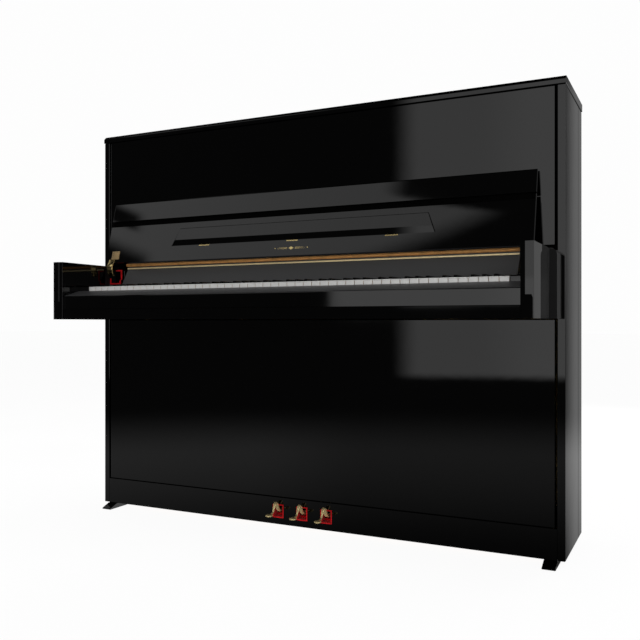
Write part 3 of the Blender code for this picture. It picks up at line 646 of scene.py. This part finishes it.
def make_keys():
    """The middle octave's keys ride on their own bodies, and the others lie in the case together."""
    whites, blacks, sticks, capstans = Shape(), Shape(), Shape(), Shape()
    for name, octave, is_white, low, high, head in keyboard_slots():
        middle = (low + high) / 2
        moving = octave == MIDDLE_OCTAVE
        cover = Shape() if moving else (whites if is_white else blacks)
        stick = Shape() if moving else sticks
        if is_white:
            white_cover(cover, low, high, head)
            white_stick(stick, low, high, head)
        else:
            black_cover(cover, middle)
            black_stick(stick, middle)
        capstan = Shape() if moving else capstans
        key_capstan(capstan, middle)
        if moving:
            body = f"{name}_key"
            slot, edge = ("white_key", WHITE_EDGE) if is_white else ("black_key", BLACK_EDGE)
            cover.piece(f"{name}_key_cover", slot, body, edge, 3, (body,))
            stick.piece(f"{name}_key_stick", "spruce", body, 0.0003, 1)
            capstan.piece(f"{name}_key_capstan", "brass", body, 0.0004, 1)
    whites.piece("white_key_covers", "white_key", "case", WHITE_EDGE, 3,
                 ("bass_white_keys", "treble_white_keys"))
    blacks.piece("black_key_covers", "black_key", "case", BLACK_EDGE, 3,
                 ("bass_black_keys", "treble_black_keys"))
    sticks.piece("key_sticks", "spruce", "case", 0.0003, 1)
    capstans.piece("key_capstans", "brass", "case", 0.0004, 1)


# ---------------------------------------------------------------- fall rail and fallboard
FALL_PIVOT = Vector((0, -0.070, 0.762))
FALL_LEAN = math.radians(15)
BOARD_FRONT = 0.0235
FALL_HALF_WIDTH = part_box("fallboard")[1].x


def on_board(x, up, out):
    """A point given along the piano, up the fallboard and out of its front."""
    upward = Vector((0, math.sin(FALL_LEAN), math.cos(FALL_LEAN)))
    outward = Vector((0, -math.cos(FALL_LEAN), math.sin(FALL_LEAN)))
    return Vector((x, 0, 0)) + FALL_PIVOT + upward * up + outward * out


def board_box(shape, xs, ups, outs):
    """A box that lies square to the fallboard."""
    corners = ((ups[0], outs[0]), (ups[1], outs[0]), (ups[1], outs[1]), (ups[0], outs[1]))
    shape.loft([[on_board(x, up, out) for up, out in corners] for x in xs])


def make_strips():
    """The bright strip in the fall rail's step, and the darker rounded strip behind it."""
    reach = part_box("fall_rail")[1].x - 0.0008
    step = [(-0.0366, 0.7636), (-0.0332, 0.7636), (-0.0332, 0.7680), (-0.0366, 0.7680)]
    Shape().prism(step, -reach, reach, "yz").piece(
        "brass_strip", "brass", "case", 0.0006, 2, material=STRIP_BRASS)
    profile = [(-0.0288, 0.7718), (-0.0288, 0.7822), *arc((-0.0372, 0.7770), 0.0050, 100, 260, 8)]
    Shape().prism(profile, -reach, reach, "yz").piece(
        "copper_strip", "copper_trim", "case", 0.0003, 1)


def make_cheek_felts():
    """Red bushing cloth edging the opening in each cheek that the fallboard's arm turns in."""
    rail_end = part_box("fall_rail")[1].x
    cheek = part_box("right_key_block")[1].x
    low, shelf, high, wall = 0.7158, 0.7350, 0.7610, 0.0042
    # from the arm's foot up its side, along the foot, up the rail's end and back over the top
    side_low, side_high = rail_end + 0.0060, rail_end + 0.0003
    bend, straight = 0.7270, 0.7310  # below the sweep of the arm
    outline = [(cheek, low), (cheek, shelf), (cheek - wall, shelf), (cheek - wall, low + wall),
               (side_low + wall, low + wall), (side_low + wall, bend), (side_high + wall, straight),
               (side_high + wall, high - wall), (rail_end + 0.024, high - wall), (rail_end + 0.024, high),
               (side_high, high), (side_high, straight), (side_low, bend), (side_low, low)]
    felts, shelves = Shape(), Shape()
    for side in (-1, 1):
        tuck = 0.0085 if side > 0 else 0.0
        felts.prism([(side * (x + tuck * (x < cheek - 0.010)), z) for x, z in outline][::side],
                    -0.0620, -0.0590, "xz")
        block = sorted((side * (rail_end + 0.0015), side * cheek))
        shelves.box((block[0], -0.0618, 0.7022), (block[1], -0.0364, low))
    felts.piece("cheek_felts", "red_felt", "case", 0.0006)
    shelves.piece("cheek_shelves", "black_lacquer", "case", 0.0006)


def make_fall_arms():
    """The curved arms that the fallboard turns on, with softened edges, and the left arm's ribbed plate."""
    outer, inner = 0.0315, 0.0275
    foot = BOARD_FRONT + 0.0003
    profile = [*arc((0, 0), outer, 62, 152, 24), *arc((0, 0), inner, 152, 62, 24),
               (0.0150, foot), (0.0235, foot), (0.0235, 0.0268)]
    for name in ("left", "right"):
        node = f"{name}_fall_arm"
        low, high = (corner.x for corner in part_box(node))
        low += 0.004 if name == "right" else 0.0
        shape = Shape()
        shape.loft([[on_board(x, up, out) for up, out in profile] for x in (low, high)])
        shape.piece(f"{name}_curved_arm", "brass", "fallboard", 0.0011, 3, (node,))
    shape = Shape()
    low, high = -0.6340, -0.6050
    board_box(shape, (low, high), (0.0240, 0.0505), (BOARD_FRONT + 0.0003, BOARD_FRONT + 0.0016))
    for i in range(4):
        up = 0.0262 + i * 0.0062
        board_box(shape, (low + 0.0012, high - 0.0012), (up, up + 0.0034),
                  (BOARD_FRONT + 0.0014, BOARD_FRONT + 0.0028))
    shape.piece("left_arm_plate", "brass", "fallboard", 0.0005, 2, material=DULL_BRASS)


def make_flap_hinges():
    """Three butt hinges along the music flap's lower edge."""
    leaves, knuckles = Shape(), Shape()
    for middle in (-0.293, 0.0, 0.293):
        half = 0.0180
        board_box(leaves, (middle - half, middle + half), (0.0556, 0.0578),
                  (BOARD_FRONT - 0.0002, BOARD_FRONT + 0.0004))
        for i in range(5):
            a = middle - half + i * 2 * half / 5
            place = [on_board(x, 0.0589, 0.0228) for x in (a + 0.0002, a + 2 * half / 5 - 0.0002)]
            knuckles.rod(place, 0.0010, 10)
    leaves.piece("flap_hinge_leaves", "brass", "fallboard", 0.0002, 1)
    knuckles.piece("flap_hinge_knuckles", "brass", "fallboard")


def make_lip_hinge():
    """The long blackened hinge in the groove below the lip, lying on a strip of black felt without gloss that
    paints the groove's shade.
    """
    reach = FALL_HALF_WIDTH - 0.001
    strip, hinge = Shape(), Shape()
    # painted shade: a black strip that reflects nothing fills the groove
    board_box(strip, (-reach, reach), (0.1330, 0.1482), (0.0183, 0.0191))
    strip.piece("groove_painted_shade_strip", "black_felt", "fallboard", 0.0002, 1)
    pitch = 0.0262
    count = int(1.30 / pitch)
    for i in range(count):
        a = (i - count / 2) * pitch
        hinge.rod([on_board(x, 0.1495, 0.0181) for x in (a + 0.0004, a + pitch - 0.0004)], 0.0010, 8)
    hinge.piece("lip_hinge", "black_felt", "fallboard")


def make_board_bumpers():
    """Felt blocks on the upper panel that the open fallboard leans against."""
    shape = Shape()
    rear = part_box("upper_panel")[0].y - 0.0002
    for side in (-1, 1):
        middle = side * 0.600
        place = [on_board(middle, up, 0.0122) for up in (0.150, 0.166)]
        low, high = (p.z for p in place)
        front = [p.y + 0.0006 for p in place]
        shape.prism([(front[0], low), (rear, low), (rear, high), (front[1], high)],
                    middle - 0.008, middle + 0.008, "yz")
    shape.piece("board_bumpers", "black_felt", "case", 0.0006, 2)


def make_panel_stops():
    """Felt-covered blocks behind the arms that the upper panel stands on, and battens behind its ends."""
    low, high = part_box("upper_panel")
    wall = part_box("right_side_panel")[0].x - 0.0005
    shape = Shape()
    for side in (-1, 1):
        a, b = sorted((side * (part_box("right_key_block")[1].x + 0.001), side * wall))
        shape.box((a, low.y + 0.0003, 0.7620), (b, high.y, low.z - 0.0003))
        a, b = sorted((side * (high.x - 0.010), side * wall))
        shape.box((a, high.y + 0.0003, 0.7620), (b, high.y + 0.0100, high.z - 0.004))
    shape.piece("panel_stops", "black_felt", "case", 0.0005, 1)


def make_ornament():
    """A plain gold inlay below the flap: a lozenge between two pairs of tapering lines."""
    shape = Shape()
    up, out = 0.0350, (BOARD_FRONT - 0.0002, BOARD_FRONT + 0.00025)

    def inlay(outline):
        shape.loft([[on_board(x, up + v, level) for x, v in outline] for level in out])

    inlay([(-0.0080, 0), (0, -0.0046), (0.0080, 0), (0, 0.0046)])
    for side in (-1, 1):
        for height in (-0.0016, 0.0016):
            a, b = side * 0.0125, side * 0.0470
            inlay([(a, height - 0.0007), (b, height), (a, height + 0.0007)][::side])
        inlay([(side * (0.0505 + dx), dz) for dx, dz in arc((0, 0), 0.0016, 0, 315, 7)][::side])
    shape.piece("gold_ornament", "brass", "fallboard")


# ---------------------------------------------------------------- pedals
PEDALS = (("soft", -0.0765), ("middle", 0.0), ("sustain", 0.0765))


def make_pedals():
    """Each pedal is cast in one with its swan neck: an oval pad in front, a flat lever behind."""
    # the neck's line (y, z), with its half-width along x and its half-thickness at each point
    neck = [(-0.0700, 0.0520, 0.0030, 0.0020), (-0.0620, 0.0523, 0.0030, 0.0022),
            (-0.0550, 0.0535, 0.0028, 0.0022), (-0.0505, 0.0560, 0.0026, 0.0024),
            (-0.0475, 0.0600, 0.0026, 0.0026), (-0.0450, 0.0655, 0.0030, 0.0028),
            (-0.0420, 0.0715, 0.0038, 0.0034), (-0.0385, 0.0765, 0.0048, 0.0040),
            (-0.0345, 0.0785, 0.0056, 0.0046), (-0.0305, 0.0765, 0.0060, 0.0050),
            (-0.0275, 0.0720, 0.0060, 0.0050), (-0.0250, 0.0665, 0.0058, 0.0048),
            (-0.0222, 0.0615, 0.0056, 0.0046), (-0.0180, 0.0572, 0.0054, 0.0044),
            (-0.0120, 0.0543, 0.0052, 0.0042), (-0.0060, 0.0528, 0.0050, 0.0042),
            (0.0120, 0.0515, 0.0050, 0.0042)]
    pad_radius, sides = 0.0098, 18
    turns = [2 * math.pi * k / sides for k in range(sides)]
    for name, x in PEDALS:
        shape = Shape()
        rings = []
        for z, grow in ((0.0492, -0.0018), (0.0504, 0.0), (0.0524, 0.0), (0.0538, -0.0012),
                        (0.0545, -0.0036)):
            pad = [*arc((0, -0.0735), pad_radius + grow, 180, 360, 16),
                   *arc((0, -0.0700), pad_radius + grow, 20, 160, 8)]
            rings.append([(x + a, y, z) for a, y in pad])
        shape.loft(rings)
        rings = []
        for i, (y, z, width, depth) in enumerate(neck):
            (y0, z0), (y1, z1) = neck[max(i - 1, 0)][:2], neck[min(i + 1, len(neck) - 1)][:2]
            across = Vector((0, z0 - z1, y1 - y0)).normalized()
            rings.append([Vector((x + width * math.cos(t), y, z)) + across * (depth * math.sin(t))
                          for t in turns])
        shape.loft(rings)
        shape.box((x - 0.0058, 0.0085, 0.0467), (x + 0.0058, 0.1218, 0.0563))
        node = f"{name}_pedal"
        shape.piece(f"{name}_pedal_casting", "brass", node, 0.0004, 1, (node,), PEDAL_BRASS)


def make_pedal_felts():
    """Red felt lining each pedal window, and the felt that the pedal comes to rest on."""
    shape = Shape()
    half, low, high = 0.0175, 0.034, 0.073
    front, rear, wall = -0.0208, 0.0030, 0.0030
    for _, x in PEDALS:
        for a, b in ((x - half, x - half + wall), (x + half - wall, x + half)):
            shape.box((a, front, low), (b, rear, high))
        for a, b in ((low, low + wall), (high - wall, high)):
            shape.box((x - half + wall, front, a), (x + half - wall, rear, b))
        shape.box((x - half, 0.0034, low - 0.002), (x + half, 0.0060, low + 0.009))
    shape.piece("pedal_window_felts", "red_felt", "case", 0.0008)


def make_pedal_brackets():
    """Pivot brackets and return springs on the bottom board."""
    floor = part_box("bottom_board")[1].z
    brackets, springs = Shape(), Shape()
    for _, x in PEDALS:
        for a, b in ((x - 0.0115, x - 0.0085), (x + 0.0085, x + 0.0115)):
            brackets.prism([(0.022, floor), (0.048, floor), (0.041, 0.058), (0.029, 0.058)], a, b, "yz")
        brackets.box((x - 0.018, 0.018, floor - 0.0002), (x + 0.018, 0.052, floor + 0.0018))
        brackets.rod([(x - 0.0125, 0.035, 0.050), (x + 0.0125, 0.035, 0.050)], 0.0028, 10)
        turns = [2 * math.pi * k / 10 for k in range(10 * 4 + 1)]
        coil = [(x + 0.0052 * math.cos(t), 0.088 + 0.0052 * math.sin(t),
                 floor + 0.0006 + 0.0118 * t / turns[-1]) for t in turns]
        springs.rod(coil, 0.0007, 6)
    brackets.piece("pedal_brackets", "rail_aluminium", "case", 0.0004, 1)
    springs.piece("pedal_springs", "string_steel", "case")


# ---------------------------------------------------------------- lid
def make_lid_hinge():
    """A continuous hinge along the rear of the lid: one leaf on the case, one on the lid."""
    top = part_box("top_lid")[0].z
    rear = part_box("top_lid")[1].y
    on_case, on_lid = Shape(), Shape()
    pitch, reach = 0.060, 0.660
    count = int(2 * reach / pitch)
    for i in range(count):
        a = -reach + i * pitch
        target = on_case if i % 2 else on_lid
        target.rod([(a + 0.0006, rear, top), (a + pitch - 0.0006, rear, top)], 0.0030, 10)
    on_case.box((-reach, rear - 0.0006, top - 0.020), (reach, rear + 0.0006, top - 0.001))
    on_lid.box((-reach, rear - 0.0006, top + 0.001), (reach, rear + 0.0006, top + 0.0160))
    on_case.piece("lid_hinge_lower_leaf", "brass", "case", 0.0002, 1)
    on_lid.piece("lid_hinge_upper_leaf", "brass", "lid", 0.0002, 1)


# ---------------------------------------------------------------- strings and action
TREBLE_Y, BASS_Y = 0.1500, 0.1370
STRING_TOP = 1.100
TREBLE_NOTES, BASS_NOTES = 62, 26
PIN_LOW_Z = 1.112  # the lowest row of tuning pins
HAMMER_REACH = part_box("hammers")[1].x + 0.002
DAMPER_COUNT = 66


def point_at(points, share):
    """The place at a share of the way along x through a row of (x, z) points."""
    x = points[0][0] + (points[-1][0] - points[0][0]) * share
    for (x0, z0), (x1, z1) in zip(points, points[1:]):
        if min(x0, x1) - 1e-9 <= x <= max(x0, x1) + 1e-9:
            return x, z0 + (z1 - z0) * (x - x0) / (x1 - x0)
    return points[-1]


def make_strings():
    """Every wire from its tuning pin, under the pressure bar, to its hitch pin on the plate."""
    plate_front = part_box("iron_plate")[0].y
    steel, copper, pins, hitches = Shape(), Shape(), Shape(), Shape()
    foot = [(-0.583, 0.2375), (-0.170, 0.342), (0.150, 0.492), (0.430, 0.692), (0.638, 0.882)]

    def wire(target, y, radius, top, end, pin_z):
        pin = (top[0] + 0.004, y, pin_z)
        target.rod([pin, (top[0], y, top[1]), (end[0], y, end[1])], radius, 5)
        pins.rod([(pin[0] + 0.0038, y + 0.018, pin_z), (pin[0] + 0.0038, y - 0.016, pin_z)], 0.0034, 6)
        hitches.rod([(end[0], plate_front + 0.004, end[1] + 0.002), (end[0], y - 0.003, end[1])], 0.0013, 6)

    for i in range(TREBLE_NOTES):
        for k in range(3):
            share = (i + 0.5 + (k - 1) * 0.17) / TREBLE_NOTES
            top = (-0.356 + 1.006 * share, STRING_TOP - 0.004)
            pin_z = PIN_LOW_Z + 0.0165 * k + 0.004 * (i % 2)
            wire(steel, TREBLE_Y, 0.00048, top, point_at(foot, share), pin_z)
    for i in range(BASS_NOTES):
        for k in range(1 if i < 8 else 2):
            share = (i + 0.5 + k * 0.34) / BASS_NOTES
            top = (-0.660 + 0.252 * share, STRING_TOP - 0.004)
            end = (-0.006 + 0.285 * share, 0.173 + 0.092 * share)
            pin_z = PIN_LOW_Z + 0.022 * k + 0.009 * (i % 2)
            wire(copper, BASS_Y, 0.0012 - 0.0004 * share, top, end, pin_z)
    steel.piece("treble_wires", "string_steel", "case", replaces=("treble_strings",))
    copper.piece("bass_wires", "wound_copper", "case", replaces=("bass_strings",))
    pins.piece("tuning_pins", "string_steel", "case", 0.0004, 1)
    hitches.piece("hitch_pins", "string_steel", "case")


def make_plate_fittings():
    """The pressure bar over the treble wires, its screws, and those round the plate."""
    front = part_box("iron_plate")[0].y
    bar, screws = Shape(), Shape()
    bar.prism([(0.1400, 1.084), (0.1488, 1.082), (0.1488, 1.098), (0.1400, 1.096)], -0.352, 0.656, "yz")
    bar.piece("pressure_bar", "brass", "case", 0.0010, 2)
    spots = [(x, 1.090, 0.1398) for x in (-0.33, -0.19, -0.05, 0.09, 0.23, 0.37, 0.51, 0.64)]
    spots += [(x, z, front) for x in (-0.685, -0.372, 0.685) for z in (1.040, 1.150)]
    spots += [(x, 0.135, front) for x in (-0.60, -0.36, -0.12, 0.12, 0.36, 0.60)]
    for x, z, y in spots:
        screws.rod([(x, y + 0.001, z), (x, y - 0.0022, z), (x, y - 0.0036, z)], [0.0062, 0.0060, 0.0036], 12)
    screws.piece("plate_screws", "string_steel", "case", 0.0004, 1)


def finger_places(count, reach, shift=0.0):
    """The middles of a row of equal shares of the width 2 * reach."""
    return [shift - reach + (i + 0.5) * 2 * reach / count for i in range(count)]


def make_hammers():
    """88 hammers: a felt head on its moulding, a round shank and a butt, with their rest rail."""
    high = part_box("hammers")[1]
    tip, middle = high.y, high.z - 0.012
    heads, woods, rail = Shape(), Shape(), Shape()
    side = [(0.030, 0.0100), (0.019, 0.0120), (0.008, 0.0100), (0.0012, 0.0045)]
    egg = [*((tip - a, middle - b) for a, b in side), (tip, middle),
           *((tip - a, middle + b) for a, b in reversed(side))]
    wedge = [(tip - 0.047, middle - 0.0050), (tip - 0.016, middle - 0.0025), (tip - 0.016, middle + 0.0025),
             (tip - 0.047, middle + 0.0065)]
    butt = [(0.077, 0.9170), (0.092, 0.9170), (0.0905, 0.934), (0.0875, 0.9400), (0.0815, 0.9400)]
    for x in finger_places(NOTE_COUNT, HAMMER_REACH):
        heads.prism(egg, x - 0.0047, x + 0.0047, "yz")
        woods.prism(wedge, x - 0.0040, x + 0.0040, "yz")
        woods.prism(butt, x - 0.0044, x + 0.0044, "yz")
        woods.rod([(x, 0.085, 0.938), (x, 0.085, middle + 0.002)], 0.0027, 7)
    heads.piece("hammer_felts", "white_felt", "hammers", 0.0009, 2, ("hammers",))
    woods.piece("hammer_shanks", "beech", "hammers", 0.0004, 1)
    reach = HAMMER_REACH - 0.004
    rail.box((-reach, 0.0690, 0.985), (reach, 0.0780, 0.997))
    rail.piece("hammer_rest_rail", "beech", "hammers", 0.0010, 2)
    Shape().box((-reach, 0.0781, 0.9865), (reach, 0.0822, 0.9955)).piece(
        "rest_rail_cloth", "red_felt", "hammers", 0.0008)


def make_dampers():
    """66 dampers: felt on a wooden block, a wire, and a lever on the lifting bar."""
    low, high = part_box("dampers")
    half = (high.x - low.x + 0.009) / 2
    felts, blocks, wires = Shape(), Shape(), Shape()
    for x in finger_places(DAMPER_COUNT, half, (low.x + high.x) / 2):
        tip = (BASS_Y - 0.0015) if x < -0.10 else (TREBLE_Y - 0.0010)
        felts.prism([(tip - 0.0080, 0.951), (tip - 0.0010, 0.952), (tip, 0.964), (tip - 0.0010, 0.977),
                     (tip - 0.0080, 0.978)], x - 0.0041, x + 0.0041, "yz")
        blocks.prism([(0.1205, 0.954), (tip - 0.0081, 0.954), (tip - 0.0081, 0.975), (0.1205, 0.972)],
                     x - 0.0036, x + 0.0036, "yz")
        blocks.prism([(0.1128, 0.904), (0.1162, 0.904), (0.1162, 0.932), (0.1128, 0.936)],
                     x - 0.0036, x + 0.0036, "yz")
        wires.rod([(x, 0.1145, 0.930), (x, 0.1150, 0.955), (x, 0.1185, 0.963), (x, 0.1225, 0.963)], 0.0009, 6)
    bar = (low.x + 0.006, high.x - 0.006)
    wires.rod([(bar[0], 0.1145, 0.915), (bar[1], 0.1145, 0.915)], 0.0024, 10)
    felts.piece("damper_felts", "white_felt", "dampers", 0.0006, 2, ("dampers",))
    blocks.piece("damper_blocks", "beech", "dampers", 0.0004, 1)
    wires.piece("damper_wires", "string_steel", "dampers")


def make_wippens():
    """For each note, the sticker that the key pushes up and the wippen with its jack and backcheck."""
    woods, wires, checks = Shape(), Shape(), Shape()
    wippen = [(0.034, 0.858), (0.104, 0.858), (0.104, 0.866), (0.096, 0.872), (0.046, 0.870), (0.034, 0.866)]
    jack = [(0.050, 0.8700), (0.0575, 0.8700), (0.0560, 0.9020), (0.0515, 0.9020)]
    for x in finger_places(NOTE_COUNT, HAMMER_REACH):
        woods.prism(wippen, x - 0.0036, x + 0.0036, "yz")
        woods.prism(jack, x - 0.0026, x + 0.0026, "yz")
        woods.rod([(x, CAPSTAN_Y, 0.7165), (x, CAPSTAN_Y, 0.858)], 0.0034, 7)
        wires.rod([(x, 0.038, 0.864), (x, 0.036, 0.915), (x, 0.042, 0.950)], 0.0010, 5)
        checks.box((x - 0.0040, 0.0385, 0.944), (x + 0.0040, 0.0455, 0.962))
    woods.piece("wippens", "beech", "case", 0.0004, 1)
    wires.piece("backcheck_wires", "string_steel", "case")
    checks.piece("backchecks", "red_felt", "case", 0.0008)


def make_action_brackets():
    """Four cast brackets that stand on the action rail and curve forward."""
    shape = Shape()
    rib = [(0.060, 0.9125), (0.072, 0.9125), (0.072, 0.9700), (0.052, 1.0000), (0.030, 1.0060),
           (0.030, 0.9980), (0.046, 0.9920), (0.060, 0.9650)]
    for x in (-0.640, -0.2225, 0.2225, 0.640):
        shape.prism(rib, x - 0.003, x + 0.003, "yz")
    shape.piece("action_brackets", "gold_iron", "case", 0.0008, 2)


def make_key_cloth():
    """Cloth along the key frame's rails, under the keys."""
    shape = Shape()
    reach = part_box("key_frame")[1].x - 0.004
    for front, rear, low, high in ((-0.184, -0.142, 0.6679, 0.6705), (0.074, 0.098, 0.6799, 0.6817)):
        shape.box((-reach, front, low), (reach, rear, high))
    shape.piece("key_frame_cloth", "red_felt", "case", 0.0006)


def make_back_fittings():
    """Bolt heads on the back rails, and screws down the posts."""
    bolts, screws = Shape(), Shape()
    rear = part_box("back_top_rail")[1].y
    post_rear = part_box("left_back_post")[1].y
    for z in (1.125, 1.055, 0.066):
        for x in (-0.56, -0.34, -0.12, 0.12, 0.34, 0.56):
            bolts.rod([(x, rear - 0.0015, z), (x, rear - 0.0002, z)], 0.0120, 16)
            bolts.rod([(x, rear - 0.0006, z), (x, rear + 0.0006, z)], 0.0068, 6)
    for side in (-1, 1):
        for i in range(5):
            z = 0.10 + i * 0.24
            x = side * 0.688
            screws.rod([(x, post_rear - 0.0015, z), (x, post_rear + 0.0002, z)], [0.0052, 0.0044], 14)
    bolts.piece("back_bolts", "string_steel", "case", 0.0003, 1)
    screws.piece("back_post_screws", "brass", "case", 0.0002, 1)


make_camera()
make_world()
make_lights()
make_floor()
dress_cad_nodes()
make_keys()
make_strips()
make_cheek_felts()
make_fall_arms()
make_flap_hinges()
make_lip_hinge()
make_board_bumpers()
make_panel_stops()
make_ornament()
make_pedals()
make_pedal_felts()
make_pedal_brackets()
make_lid_hinge()
make_strings()
make_plate_fittings()
make_hammers()
make_dampers()
make_wippens()
make_action_brackets()
make_key_cloth()
make_back_fittings()
bpy.context.scene.view_settings.view_transform = "Standard"
